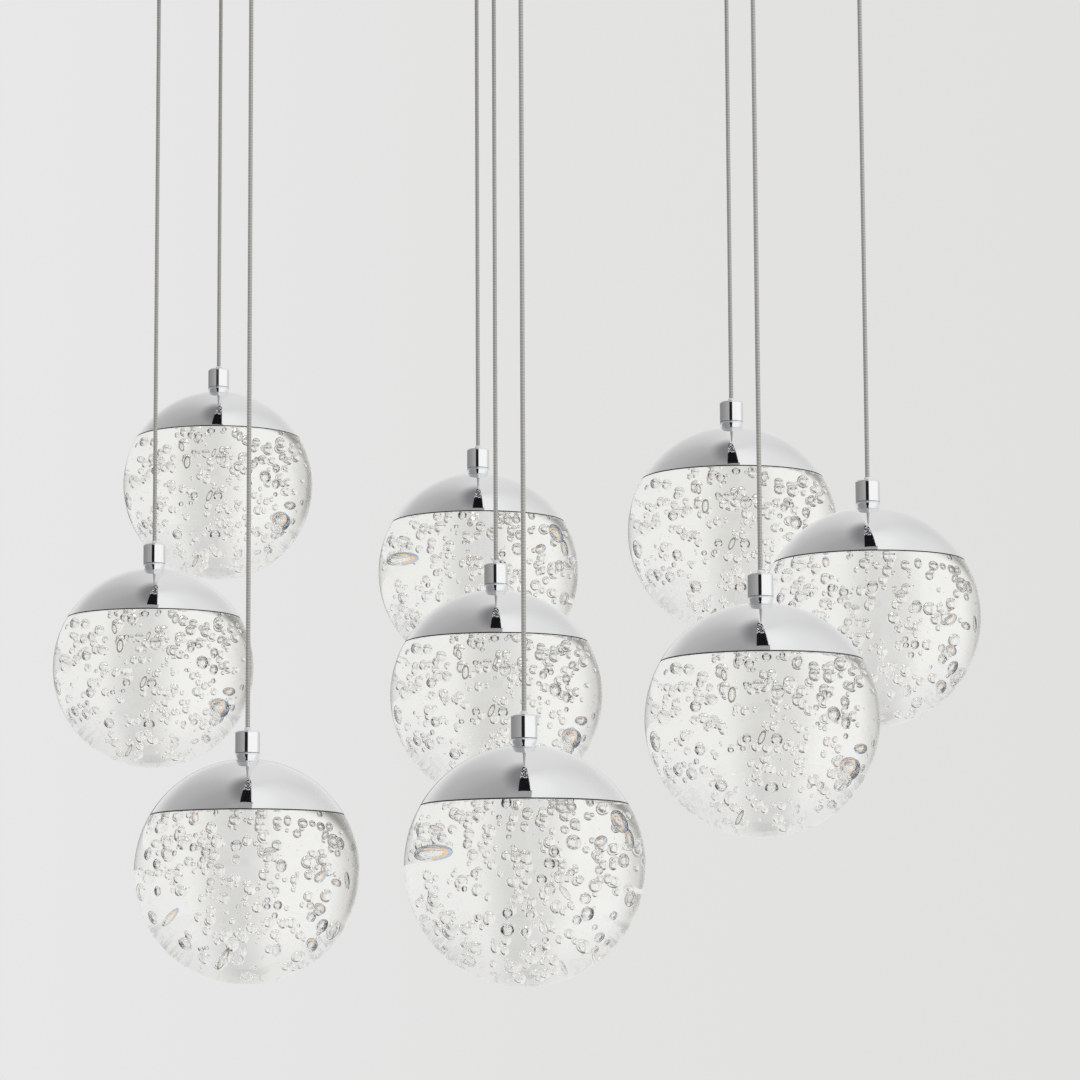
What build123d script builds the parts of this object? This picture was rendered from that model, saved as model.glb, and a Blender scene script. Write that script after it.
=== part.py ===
from build123d import *
from math import asin, cos, degrees, pi, sqrt
import os

# Cluster pendant: nine solid glass globes with chrome caps, each on its own thin cable
# under one round ceiling canopy. Millimetres, +Z up, origin at the middle of the canopy
# in the plane of the ceiling.

# Each pendant: (x, y) of its cable outlet, and the drop from ceiling to globe centre.
PENDANTS = {
    1: (-135, 195, 332),
    2: (-158, 91, 440),
    3: (-95, -114, 552),
    4: (5, 87, 393),
    5: (15, -19, 465),
    6: (29, -233, 556),
    7: (128, -9, 386),
    8: (130, -198, 493),
    9: (185, -98, 438),
}

# Clearances and cutters
RUNNING_CLEARANCE = 0.08  # radial, cable in its bores
THREAD_CLEARANCE = 0.05  # radial, screwed pieces
HOLE_CLEARANCE = 0.10  # radial, bolts and stems through plain holes
GLUE_GAP = 0.40  # glass neck to cap wall
SEAT_GAP = 0.05  # boss to the underside of the cap
CUTTER_REACH = 2.0  # how far a cutter stands out on either side of the wall it goes through

# Globe
GLOBE_RADIUS = 50
RIM_HEIGHT = 25  # cap rim above the globe's centre
NECK_HEIGHT = 3.5  # glass neck standing inside the cap
POCKET_RADIUS = 14  # pocket for the light board in the top of the neck
POCKET_DEPTH = 2.0
SEAM_CHAMFER = 0.4  # on cap and glass, either side of the seam

# Cap
CAP_WALL = 1.2
CAP_SEAT_MARGIN = 0.3  # flat on the cap's top, beyond the collar's foot

# Light module
BASE_THICKNESS = 3.0
BASE_MARGIN = 2.0  # base edge to cap wall
BOARD_RADIUS = 12.5
BOARD_THICKNESS = 1.2
BOSS_RADIUS = 6.5
FIN_COUNT = 12
FIN_THICKNESS = 1.4
FIN_MARGIN = 2.5  # fin tips to cap wall

# Holder: barrel above, tapered collar below
HOLDER_RADIUS = 5.5
COLLAR_HEIGHT = 2.9
COLLAR_FOOT_RADIUS = 4.5
COLLAR_BULGE = 0.25  # how far the collar's side swells past its straight taper
STEM_RADIUS = 3.0
STEM_LENGTH = 9.0  # below the collar's foot
SPIGOT_HEIGHT = 3.5  # above the collar's top
BARREL_LENGTH = 9.8
BARREL_EDGE = 0.7  # rounded top edge
HOLDER_CHAMFER = 0.2  # either side of the barrel and collar's joint
SOCKET_GAP = 0.5  # above the spigot
SLEEVE_RADIUS = 1.45
SLEEVE_LENGTH = 1.7
WIRE_BORE_RADIUS = 1.0

# Cable
CABLE_RADIUS = 1.0
CABLE_ENTRY = 0.5  # into the gland, above its throat

# Canopy
CANOPY_RADIUS = 270
CANOPY_HEIGHT = 36
CANOPY_WALL = 1.5
CANOPY_CORNER = 12

# Cable gland and its lock nut
GLAND_FLANGE_RADIUS = 8.0
GLAND_FLANGE_HEIGHT = 1.6
GLAND_BODY_RADIUS = 6.4
GLAND_TIP_RADIUS = 4.0
GLAND_LENGTH = 12.0
GLAND_THREAD_RADIUS = 5.0
GLAND_THREAD_BEYOND_NUT = 2.0
GLAND_FLARE_LENGTH = 3.0
GLAND_FLARE_RADIUS = 2.4
NUT_ACROSS_FLATS = 14.0
NUT_HEIGHT = 4.5
NUT_CORNER_CUT = 0.8

# Ceiling plate
PLATE_THICKNESS = 2.0
PLATE_GAP = 0.4  # flange to canopy wall
FLANGE_HEIGHT = 8.0
FLANGE_BEND = 3.5  # outer bend radius
ENTRY_RADIUS = 12.0  # hole for the supply cable
SLOT_SPACING = 300.0
SLOT_LENGTH = 16.0
SLOT_HALF_WIDTH = 3.0
TAB_COUNT = 4
TAB_WIDTH = 20.0
TAB_DROP = 20.0  # below the ceiling

# Canopy screws
SCREW_RADIUS = 2.0
SCREW_DEPTH_BELOW_CEILING = 12.0
SCREW_BEYOND_TAB = 3.0
SCREW_HEAD_RADIUS = 5.0
SCREW_HEAD_LENGTH = 5.0
SCREW_HEAD_EDGE = 1.0

# Driver and terminal block, both under the plate
DRIVER_PLACE = (110, 118)
DRIVER_SIZE = (132, 42, 24)
DRIVER_CORNER = 3.0
DRIVER_EAR_LENGTH = 12.0
DRIVER_EAR_THICKNESS = 3.0
DRIVER_EAR_HOLE_RADIUS = 2.2
DRIVER_LEAD_PORT_RADIUS = 3.5
DRIVER_LEAD_PORT_LENGTH = 4.0
TERMINAL_PLACE = (72, 42)
TERMINAL_POLES = 3
TERMINAL_PITCH = 10.0
TERMINAL_DEPTH = 20.0
TERMINAL_HEIGHT = 15.0
TERMINAL_WIRE_RADIUS = 2.2
TERMINAL_SCREW_RADIUS = 2.6
TERMINAL_SCREW_DEPTH = 5.0


def sphere_width(radius, height):
    """Radius of a centred sphere's slice at a height, and the other way round."""
    return sqrt(radius**2 - height**2)


CAP_INNER_RADIUS = GLOBE_RADIUS - CAP_WALL
CAP_SEAT_RADIUS = COLLAR_FOOT_RADIUS + CAP_SEAT_MARGIN
CAP_TOP = sphere_width(GLOBE_RADIUS, CAP_SEAT_RADIUS)
NECK_TOP = RIM_HEIGHT + NECK_HEIGHT
NECK_RADIUS = sphere_width(CAP_INNER_RADIUS, NECK_TOP) - GLUE_GAP
BASE_TOP = NECK_TOP + BASE_THICKNESS
COLLAR_TOP = CAP_TOP + COLLAR_HEIGHT
SPIGOT_TOP = COLLAR_TOP + SPIGOT_HEIGHT
BARREL_TOP = COLLAR_TOP + BARREL_LENGTH
SLEEVE_TOP = BARREL_TOP + SLEEVE_LENGTH
SOCKET_TOP = SPIGOT_TOP + SOCKET_GAP
CABLE_BORE_RADIUS = CABLE_RADIUS + RUNNING_CLEARANCE
CANOPY_FACE = -CANOPY_HEIGHT
GLAND_THROAT = CANOPY_FACE - GLAND_LENGTH + GLAND_FLARE_LENGTH
CANOPY_INNER_RADIUS = CANOPY_RADIUS - CANOPY_WALL
FLANGE_RADIUS = CANOPY_INNER_RADIUS - PLATE_GAP


def turned(*edges):
    """Solid turned about Z from edges drawn in (radius, height)."""
    return revolve(Plane.XZ * Face(Wire(edges)), Axis.Z)


def turned_points(*points):
    """Solid turned about Z from the corners of its section in (radius, height)."""
    return revolve(Plane.XZ * Face(Wire(Polyline(*points, close=True))), Axis.Z)


def drill(radius, wall):
    """Cutter for a round hole through a wall."""
    return Cylinder(radius, wall + 2 * CUTTER_REACH)


def block(length, width, height, side=Align.MAX):
    """Box centred in plan that hangs below its origin, or stands on it."""
    return Box(length, width, height, align=(Align.CENTER, Align.CENTER, side))


def sphere_arc(radius, low, high):
    """Section of a centred sphere between two heights."""
    start = degrees(asin(low / radius))
    return CenterArc((0, 0), radius, start, degrees(asin(high / radius)) - start)


def glass_globe():
    """Solid ball with a ledge for the cap's rim, a neck inside the cap and a light pocket."""
    chamfer_top = RIM_HEIGHT - SEAM_CHAMFER
    rim = sphere_width(GLOBE_RADIUS, RIM_HEIGHT) - SEAM_CHAMFER
    pocket_floor = NECK_TOP - POCKET_DEPTH
    inside = Polyline(
        (sphere_width(GLOBE_RADIUS, chamfer_top), chamfer_top),
        (rim, RIM_HEIGHT),
        (NECK_RADIUS, RIM_HEIGHT),
        (NECK_RADIUS, NECK_TOP),
        (POCKET_RADIUS, NECK_TOP),
        (POCKET_RADIUS, pocket_floor),
        (0, pocket_floor),
        (0, -GLOBE_RADIUS),
    )
    return turned(sphere_arc(GLOBE_RADIUS, -GLOBE_RADIUS, chamfer_top), *inside.edges())


def cap():
    """Domed shell that carries on the globe's sphere above the rim."""
    hole = STEM_RADIUS + HOLE_CLEARANCE
    chamfer_top = RIM_HEIGHT + SEAM_CHAMFER
    rim = sphere_width(GLOBE_RADIUS, RIM_HEIGHT) - SEAM_CHAMFER
    hole_bottom = sphere_width(CAP_INNER_RADIUS, hole)
    seat = Polyline((CAP_SEAT_RADIUS, CAP_TOP), (hole, CAP_TOP), (hole, hole_bottom))
    foot = Polyline(
        (sphere_width(CAP_INNER_RADIUS, RIM_HEIGHT), RIM_HEIGHT),
        (rim, RIM_HEIGHT),
        (sphere_width(GLOBE_RADIUS, chamfer_top), chamfer_top),
    )
    return turned(
        sphere_arc(GLOBE_RADIUS, chamfer_top, CAP_TOP),
        *seat.edges(),
        sphere_arc(CAP_INNER_RADIUS, RIM_HEIGHT, hole_bottom),
        *foot.edges(),
    )


def led_module():
    """Heat sink with radial fins, a threaded boss and the light board on its underside."""
    base_radius = sphere_width(CAP_INNER_RADIUS, BASE_TOP) - BASE_MARGIN
    boss_top = sphere_width(CAP_INNER_RADIUS, BOSS_RADIUS) - SEAT_GAP
    thread = STEM_RADIUS + THREAD_CLEARANCE
    thread_bottom = CAP_TOP - STEM_LENGTH - SOCKET_GAP
    board_bottom = NECK_TOP - BOARD_THICKNESS
    core = turned_points(
        (WIRE_BORE_RADIUS, board_bottom),
        (BOARD_RADIUS, board_bottom),
        (BOARD_RADIUS, NECK_TOP),
        (base_radius, NECK_TOP),
        (base_radius, BASE_TOP),
        (BOSS_RADIUS, BASE_TOP),
        (BOSS_RADIUS, boss_top),
        (thread, boss_top),
        (thread, thread_bottom),
        (WIRE_BORE_RADIUS, thread_bottom),
    )
    fin_start = thread + FIN_THICKNESS
    fin_length = base_radius - fin_start
    fin_blank = block(fin_length, FIN_THICKNESS, GLOBE_RADIUS - BASE_TOP, Align.MIN)
    fin = Pos(fin_start + fin_length / 2, 0, BASE_TOP) * fin_blank
    fin = fin & Sphere(CAP_INNER_RADIUS - FIN_MARGIN)
    fins = [Rot(0, 0, 360 * n / FIN_COUNT) * fin for n in range(FIN_COUNT)]
    return core.fuse(*fins)


def holder_collar():
    """Tapered collar: its stem goes down through the cap, its spigot up into the barrel."""
    shoulder = COLLAR_TOP - HOLDER_CHAMFER
    middle = ((COLLAR_FOOT_RADIUS + HOLDER_RADIUS) / 2 + COLLAR_BULGE, (CAP_TOP + shoulder) / 2)
    side = ThreePointArc((COLLAR_FOOT_RADIUS, CAP_TOP), middle, (HOLDER_RADIUS, shoulder))
    top = Polyline(
        (HOLDER_RADIUS, shoulder),
        (HOLDER_RADIUS - HOLDER_CHAMFER, COLLAR_TOP),
        (STEM_RADIUS, COLLAR_TOP),
        (STEM_RADIUS, SPIGOT_TOP),
        (WIRE_BORE_RADIUS, SPIGOT_TOP),
        (WIRE_BORE_RADIUS, CAP_TOP - STEM_LENGTH),
        (STEM_RADIUS, CAP_TOP - STEM_LENGTH),
        (STEM_RADIUS, CAP_TOP),
        (COLLAR_FOOT_RADIUS, CAP_TOP),
    )
    return turned(side, *top.edges())


def holder_barrel():
    """Cable holder: a socket for the collar's spigot below, a sleeve for the cable on top."""
    socket = STEM_RADIUS + THREAD_CLEARANCE
    edge_start = BARREL_TOP - BARREL_EDGE
    edge_middle = BARREL_EDGE * (1 - cos(pi / 4))
    edge = ThreePointArc(
        (HOLDER_RADIUS, edge_start),
        (HOLDER_RADIUS - edge_middle, BARREL_TOP - edge_middle),
        (HOLDER_RADIUS - BARREL_EDGE, BARREL_TOP),
    )
    rest = Polyline(
        (HOLDER_RADIUS - BARREL_EDGE, BARREL_TOP),
        (SLEEVE_RADIUS, BARREL_TOP),
        (SLEEVE_RADIUS, SLEEVE_TOP),
        (CABLE_BORE_RADIUS, SLEEVE_TOP),
        (CABLE_BORE_RADIUS, SOCKET_TOP),
        (socket, SOCKET_TOP),
        (socket, COLLAR_TOP),
        (HOLDER_RADIUS - HOLDER_CHAMFER, COLLAR_TOP),
        (HOLDER_RADIUS, COLLAR_TOP + HOLDER_CHAMFER),
        (HOLDER_RADIUS, edge_start),
    )
    return turned(edge, *rest.edges())


def cable(drop):
    """Straight cable from inside the barrel to just inside the gland's throat."""
    bottom = SOCKET_TOP - drop
    length = GLAND_THROAT + CABLE_ENTRY - bottom
    return Pos(0, 0, bottom + length / 2) * Cylinder(CABLE_RADIUS, length)


def gland():
    """Cable gland: flange under the canopy, flared mouth below, thread up through the wall."""
    tip = CANOPY_FACE - GLAND_LENGTH
    flange_bottom = CANOPY_FACE - GLAND_FLANGE_HEIGHT
    thread_top = CANOPY_FACE + CANOPY_WALL + NUT_HEIGHT + GLAND_THREAD_BEYOND_NUT
    return turned_points(
        (CABLE_BORE_RADIUS, thread_top),
        (GLAND_THREAD_RADIUS, thread_top),
        (GLAND_THREAD_RADIUS, CANOPY_FACE),
        (GLAND_FLANGE_RADIUS, CANOPY_FACE),
        (GLAND_FLANGE_RADIUS, flange_bottom),
        (GLAND_BODY_RADIUS, flange_bottom),
        (GLAND_TIP_RADIUS, tip),
        (GLAND_FLARE_RADIUS, tip),
        (CABLE_BORE_RADIUS, GLAND_THROAT),
    )


def lock_nut():
    """Hexagon nut on the gland's thread, its top corners cut back."""
    corner_radius = NUT_ACROSS_FLATS / 2 / cos(pi / 6)
    bottom = CANOPY_FACE + CANOPY_WALL
    blank = extrude(Pos(0, 0, bottom) * RegularPolygon(corner_radius, 6), NUT_HEIGHT)
    cone = turned_points(
        (GLAND_THREAD_RADIUS + THREAD_CLEARANCE, bottom),
        (corner_radius, bottom),
        (corner_radius, bottom + NUT_HEIGHT - NUT_CORNER_CUT / 2),
        (corner_radius - NUT_CORNER_CUT, bottom + NUT_HEIGHT),
        (GLAND_THREAD_RADIUS + THREAD_CLEARANCE, bottom + NUT_HEIGHT),
    )
    return blank & cone


def around_tabs(piece):
    """Copies of a piece, one at each tab of the ceiling plate."""
    return [Rot(0, 0, 360 * (n + 0.5) / TAB_COUNT) * piece for n in range(TAB_COUNT)]


def canopy_shell():
    """Shallow dish, open towards the ceiling, with outlets for the glands."""
    corner = CANOPY_CORNER * (1 - cos(pi / 4))
    inner_corner = CANOPY_CORNER - CANOPY_WALL
    inner_middle = inner_corner * (1 - cos(pi / 4))
    floor = CANOPY_FACE + CANOPY_WALL
    section = (
        Line((0, CANOPY_FACE), (CANOPY_RADIUS - CANOPY_CORNER, CANOPY_FACE)),
        ThreePointArc(
            (CANOPY_RADIUS - CANOPY_CORNER, CANOPY_FACE),
            (CANOPY_RADIUS - corner, CANOPY_FACE + corner),
            (CANOPY_RADIUS, CANOPY_FACE + CANOPY_CORNER),
        ),
        Line((CANOPY_RADIUS, CANOPY_FACE + CANOPY_CORNER), (CANOPY_RADIUS, 0)),
        Line((CANOPY_RADIUS, 0), (CANOPY_INNER_RADIUS, 0)),
        Line((CANOPY_INNER_RADIUS, 0), (CANOPY_INNER_RADIUS, CANOPY_FACE + CANOPY_CORNER)),
        ThreePointArc(
            (CANOPY_INNER_RADIUS, CANOPY_FACE + CANOPY_CORNER),
            (CANOPY_INNER_RADIUS - inner_middle, floor + inner_middle),
            (CANOPY_INNER_RADIUS - inner_corner, floor),
        ),
        Line((CANOPY_INNER_RADIUS - inner_corner, floor), (0, floor)),
        Line((0, floor), (0, CANOPY_FACE)),
    )
    outlet = drill(GLAND_THREAD_RADIUS + HOLE_CLEARANCE, CANOPY_WALL)
    outlets = [Pos(x, y, CANOPY_FACE) * outlet for x, y, drop in PENDANTS.values()]
    screw_hole = Rot(0, 90, 0) * drill(SCREW_RADIUS + HOLE_CLEARANCE, CANOPY_WALL)
    screw_holes = around_tabs(Pos(CANOPY_RADIUS, 0, -SCREW_DEPTH_BELOW_CEILING) * screw_hole)
    return turned(*section).cut(*outlets, *screw_holes)


def plate_tab():
    """Stretch of the plate's flange that reaches further down, drilled for a canopy screw."""
    inner = FLANGE_RADIUS - PLATE_THICKNESS
    ring = turned_points(
        (inner, -FLANGE_BEND),
        (FLANGE_RADIUS, -FLANGE_BEND),
        (FLANGE_RADIUS, -TAB_DROP),
        (inner, -TAB_DROP),
    )
    lug = ring & Pos(FLANGE_RADIUS, 0, 0) * block(TAB_WIDTH, TAB_WIDTH, TAB_DROP)
    hole = Rot(0, 90, 0) * drill(SCREW_RADIUS + THREAD_CLEARANCE, PLATE_THICKNESS)
    return lug - Pos(FLANGE_RADIUS, 0, -SCREW_DEPTH_BELOW_CEILING) * hole


def ceiling_plate():
    """Pressed round plate with its edge turned down, ceiling slots and four tabs."""
    bend_start = FLANGE_RADIUS - FLANGE_BEND
    inner_bend = FLANGE_BEND - PLATE_THICKNESS
    outer = CenterArc((bend_start, -FLANGE_BEND), FLANGE_BEND, 0, 90)
    inner = CenterArc((bend_start, -FLANGE_BEND), inner_bend, 0, 90)
    edge = Polyline(
        (FLANGE_RADIUS, -FLANGE_BEND),
        (FLANGE_RADIUS, -FLANGE_HEIGHT),
        (FLANGE_RADIUS - PLATE_THICKNESS, -FLANGE_HEIGHT),
        (FLANGE_RADIUS - PLATE_THICKNESS, -FLANGE_BEND),
    )
    disc = Polyline(
        (bend_start, -PLATE_THICKNESS),
        (ENTRY_RADIUS, -PLATE_THICKNESS),
        (ENTRY_RADIUS, 0),
        (bend_start, 0),
    )
    pressing = turned(outer, *edge.edges(), inner, *disc.edges())
    plate = pressing.fuse(*around_tabs(plate_tab()))
    half = SLOT_SPACING / 2
    slot_outline = SlotOverall(SLOT_LENGTH, 2 * SLOT_HALF_WIDTH)
    slot = extrude(slot_outline, PLATE_THICKNESS + CUTTER_REACH, both=True)
    corners = ((half, half), (-half, half), (-half, -half), (half, -half))
    return plate.cut(*[Pos(x, y, 0) * slot for x, y in corners])


def canopy_screw():
    """Knurl-headed screw through the canopy wall into a tab, drawn along +X."""
    end = FLANGE_RADIUS - PLATE_THICKNESS - SCREW_BEYOND_TAB
    head_end = CANOPY_RADIUS + SCREW_HEAD_LENGTH
    profile = turned_points(
        (0, end),
        (SCREW_RADIUS, end),
        (SCREW_RADIUS, CANOPY_RADIUS),
        (SCREW_HEAD_RADIUS, CANOPY_RADIUS),
        (SCREW_HEAD_RADIUS, head_end - SCREW_HEAD_EDGE),
        (SCREW_HEAD_RADIUS - SCREW_HEAD_EDGE, head_end),
        (0, head_end),
    )
    return Pos(0, 0, -SCREW_DEPTH_BELOW_CEILING) * Rot(0, 90, 0) * profile


def led_driver():
    """Driver housing hung under the plate by an ear at each end."""
    length, width, height = DRIVER_SIZE
    case = block(length, width, height)
    upright_edges = case.edges().filter_by(Axis.Z)
    bottom_edges = case.faces().sort_by(Axis.Z)[0].edges()
    case = fillet(upright_edges + bottom_edges, DRIVER_CORNER)
    ears = block(length + 2 * DRIVER_EAR_LENGTH, width / 2, DRIVER_EAR_THICKNESS)
    ears = fillet(ears.edges().filter_by(Axis.Z), DRIVER_CORNER)
    port_span = length + 2 * DRIVER_LEAD_PORT_LENGTH
    ports = Pos(0, 0, -height / 2) * Rot(0, 90, 0) * Cylinder(DRIVER_LEAD_PORT_RADIUS, port_span)
    hole = drill(DRIVER_EAR_HOLE_RADIUS, 2 * DRIVER_EAR_THICKNESS)
    hole_place = (length + DRIVER_EAR_LENGTH) / 2
    driver = case.fuse(ears, ports).cut(*[Pos(x, 0, 0) * hole for x in (hole_place, -hole_place)])
    return Pos(*DRIVER_PLACE, -PLATE_THICKNESS) * driver


def terminal_block():
    """Block with a wire hole through each pole and a screw well over each end of it."""
    body = block(TERMINAL_POLES * TERMINAL_PITCH, TERMINAL_DEPTH, TERMINAL_HEIGHT)
    wire = Rot(90, 0, 0) * drill(TERMINAL_WIRE_RADIUS, TERMINAL_DEPTH)
    well = Cylinder(TERMINAL_SCREW_RADIUS, 2 * TERMINAL_SCREW_DEPTH)
    cuts = []
    for pole in range(TERMINAL_POLES):
        x = (pole - (TERMINAL_POLES - 1) / 2) * TERMINAL_PITCH
        cuts.append(Pos(x, 0, -TERMINAL_HEIGHT / 2) * wire)
        for y in (-TERMINAL_DEPTH / 4, TERMINAL_DEPTH / 4):
            cuts.append(Pos(x, y, -TERMINAL_HEIGHT) * well)
    return Pos(*TERMINAL_PLACE, -PLATE_THICKNESS) * body.cut(*cuts)


def save(name, shape):
    """Write one named piece."""
    export_step(shape, f"parts/{name}.step")


def group(pieces):
    """Several separate solids as one piece."""
    return Compound([solid for piece in pieces for solid in piece.solids()])


os.makedirs("parts", exist_ok=True)

save("canopy_shell", canopy_shell())
save("ceiling_plate", ceiling_plate())
save("canopy_screws", group(around_tabs(canopy_screw())))
save("led_driver", led_driver())
save("terminal_block", terminal_block())

outlet_pieces = [gland(), lock_nut()]
outlet_places = [Pos(x, y, 0) for x, y, drop in PENDANTS.values()]
save("cable_glands", group([place * piece for place in outlet_places for piece in outlet_pieces]))

pendant_pieces = {
    "holder_barrel": holder_barrel(),
    "holder_collar": holder_collar(),
    "cap": cap(),
    "led_module": led_module(),
    "glass_globe": glass_globe(),
}
for number, (x, y, drop) in PENDANTS.items():
    save(f"cable_{number}", Pos(x, y, 0) * cable(drop))
    for name, piece in pendant_pieces.items():
        save(f"{name}_{number}", Pos(x, y, -drop) * piece)
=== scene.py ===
import math
import random

import bmesh
import bpy
import numpy as np
from mathutils import Matrix, Vector


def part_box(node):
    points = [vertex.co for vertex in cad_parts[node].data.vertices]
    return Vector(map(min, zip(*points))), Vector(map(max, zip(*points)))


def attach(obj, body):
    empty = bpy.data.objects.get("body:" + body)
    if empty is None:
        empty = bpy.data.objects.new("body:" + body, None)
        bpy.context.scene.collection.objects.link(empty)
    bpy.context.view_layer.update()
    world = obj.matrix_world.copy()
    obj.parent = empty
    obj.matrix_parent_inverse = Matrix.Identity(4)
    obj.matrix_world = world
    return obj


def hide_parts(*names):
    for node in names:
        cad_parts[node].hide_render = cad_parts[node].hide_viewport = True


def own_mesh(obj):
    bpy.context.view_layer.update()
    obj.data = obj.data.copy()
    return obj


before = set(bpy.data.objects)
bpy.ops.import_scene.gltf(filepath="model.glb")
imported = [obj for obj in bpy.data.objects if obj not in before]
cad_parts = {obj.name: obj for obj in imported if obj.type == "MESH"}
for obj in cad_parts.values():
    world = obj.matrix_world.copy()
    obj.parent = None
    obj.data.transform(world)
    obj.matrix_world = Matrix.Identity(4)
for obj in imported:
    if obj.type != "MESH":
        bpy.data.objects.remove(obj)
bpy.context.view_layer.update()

MM = 0.001
PENDANTS = range(1, 10)

# Camera, in the object's frame
CAMERA_PLACE = (0.036, -1.830, -0.636)
CAMERA_PITCH = math.radians(7.7)
CAMERA_ROLL = math.radians(0.3)
LENS = 128.4
SENSOR = 36.0

# Globe and cap, millimetres above the globe's centre
GLOBE_RADIUS = 50.0
RIM_HEIGHT = 25.0
SEAM_CHAMFER = 0.4
SEAL_INSET = 0.12  # seal's outer edge, inside the sphere
SEAL_HEIGHT = 0.5
SEAL_WIDTH = 0.35
SEAL_BULGE = 0.03
SEAL_TAIL = 0.02  # half the seal's height at its inner edge
NECK_TOP = 28.5
NECK_RADIUS = 38.67
NECK_GAP = 0.25  # air between the glass and the metal above it
POCKET_RADIUS = 14.0
POCKET_FLOOR = 26.5
CAP_WALL = 1.2
CAP_SEAT_RADIUS = 4.8
STEM_HOLE = 3.1
BALL_SEGMENTS = 128

# Light board and the white film round it, between glass and metal
BOARD_RADIUS = 12.4
BOARD_THICKNESS = 1.2
BOARD_FACE = 0.12  # how far its face stands under the board
BOARD_BACK = 0.01
PHOSPHOR_RADIUS = 9.0
PHOSPHOR_RISE = (0.45, 0.42, 0.3)  # in its middle, halfway and at its edge
PHOSPHOR_SLOPE = 0.4
FILM_GAP = 0.06
FILM_INSET = 0.3

# Cable holder
HOLDER_RADIUS = 5.5
COLLAR_FOOT_RADIUS = 4.5
COLLAR_BULGE = 0.25
COLLAR_HEIGHT = 2.9
HOLDER_GROOVE = 0.2
BARREL_LENGTH = 9.8
BARREL_EDGE = 0.7
STRAIGHT_FROM = 0.1  # how near its ends the barrel's side is still quite straight
SLEEVE_RADIUS = 1.45
SLEEVE_LENGTH = 1.7
SLEEVE_CHAMFER = 0.2
STEM_RADIUS = 3.0
STEM_LENGTH = 8.0
SPIGOT_HEIGHT = 3.5
SOCKET_CLEARANCE = 0.05  # radial
SOCKET_GAP = 0.5

CAP_TOP = math.sqrt(GLOBE_RADIUS**2 - CAP_SEAT_RADIUS**2)
COLLAR_TOP = CAP_TOP + COLLAR_HEIGHT
BARREL_TOP = COLLAR_TOP + BARREL_LENGTH
CABLE_BOTTOM = COLLAR_TOP + SPIGOT_HEIGHT + SOCKET_GAP

# Cable
CABLE_RADIUS = 1.0
CABLE_BORE = 1.08
CABLE_TOP = -44.5  # in the gland
STRANDS = 7  # braid bands each way round
WEAVE_PITCH = 2400.0  # radians of the braid's wave per metre
ROUTE_SHARES = (0, 0.25, 0.5, 0.75, 1)  # points of a cable's route, in its length

# Canopy
CANOPY_RADIUS = 270.0
CANOPY_HEIGHT = 36.0
CANOPY_WALL = 1.5
CANOPY_CORNER = 12.0
GLAND_LENGTH = 12.0
GLAND_FLANGE = (8.0, 1.6)  # radius and height
GLAND_BODY_RADIUS = 6.4
GLAND_TIP_RADIUS = 4.0
GLAND_TIP_CHAMFER = 0.3
GLAND_CHAMFER = 0.4
GLAND_FLARE = (2.4, 3.0)  # radius at the tip, and length
GLAND_THREAD_RADIUS = 5.0
NUT_ACROSS_FLATS = 14.0
NUT_HEIGHT = 4.5
NUT_CHAMFER = (0.8, 0.5)  # inward and down
THREAD_BEYOND_NUT = 2.0


def globe_centre(number):
    """Centre of a globe: its box's middle in plan, one radius above its lowest point."""
    low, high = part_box(f"glass_globe_{number}")
    return Vector(((low.x + high.x) / 2, (low.y + high.y) / 2, low.z + GLOBE_RADIUS * MM))


# ---------------------------------------------------------------- meshes


def new_piece(name, mesh, centre, body, slot, *nodes):
    """Object for a mesh at its place, riding on a body, with the CAD nodes that it stands for."""
    piece = bpy.data.objects.new(name, mesh)
    bpy.context.scene.collection.objects.link(piece)
    piece.location = centre
    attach(piece, body)
    if nodes:
        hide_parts(*nodes)
    return piece


def finish_mesh(name, points, faces, materials, sharp=30.0, marks=None):
    """Smooth mesh with sharp edges where it turns by more than an angle, and its materials."""
    mesh = bpy.data.meshes.new(name)
    mesh.from_pydata(points, [], faces)
    for material in materials:
        mesh.materials.append(material)
    if marks:
        mesh.polygons.foreach_set("material_index", marks)
    mesh.validate()
    mesh.shade_smooth()
    mesh.set_sharp_from_angle(angle=math.radians(sharp))
    return mesh


def lathe(profile, segments):
    """Points and faces of a section in (radius, height) millimetres turned about Z."""
    points, rings, faces = [], [], []
    for radius, height in profile:
        if radius < 1e-6:
            rings.append([len(points)] * segments)
            points.append((0, 0, height * MM))
            continue
        rings.append(list(range(len(points), len(points) + segments)))
        for step in range(segments):
            angle = 2 * math.pi * step / segments
            points.append((radius * math.cos(angle) * MM, radius * math.sin(angle) * MM, height * MM))
    for lower, upper in zip(rings, rings[1:]):
        for step in range(segments):
            after = (step + 1) % segments
            corners = [lower[step], lower[after], upper[after], upper[step]]
            corners = [c for n, c in enumerate(corners) if c not in corners[:n]]
            if len(corners) > 2:
                faces.append(corners)
    return points, faces


def arc(centre, radius, start, end, steps):
    """Points of an arc in (radius, height), angles in degrees from the outward direction."""
    angles = [math.radians(start + (end - start) * n / steps) for n in range(steps + 1)]
    return [(centre[0] + radius * math.cos(a), centre[1] + radius * math.sin(a)) for a in angles]


def sphere_section(radius, low, high, steps):
    """Arc of a centred sphere between two heights."""
    return arc((0, 0), radius, *[math.degrees(math.asin(h / radius)) for h in (low, high)], steps)


# ---------------------------------------------------------------- materials

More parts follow.
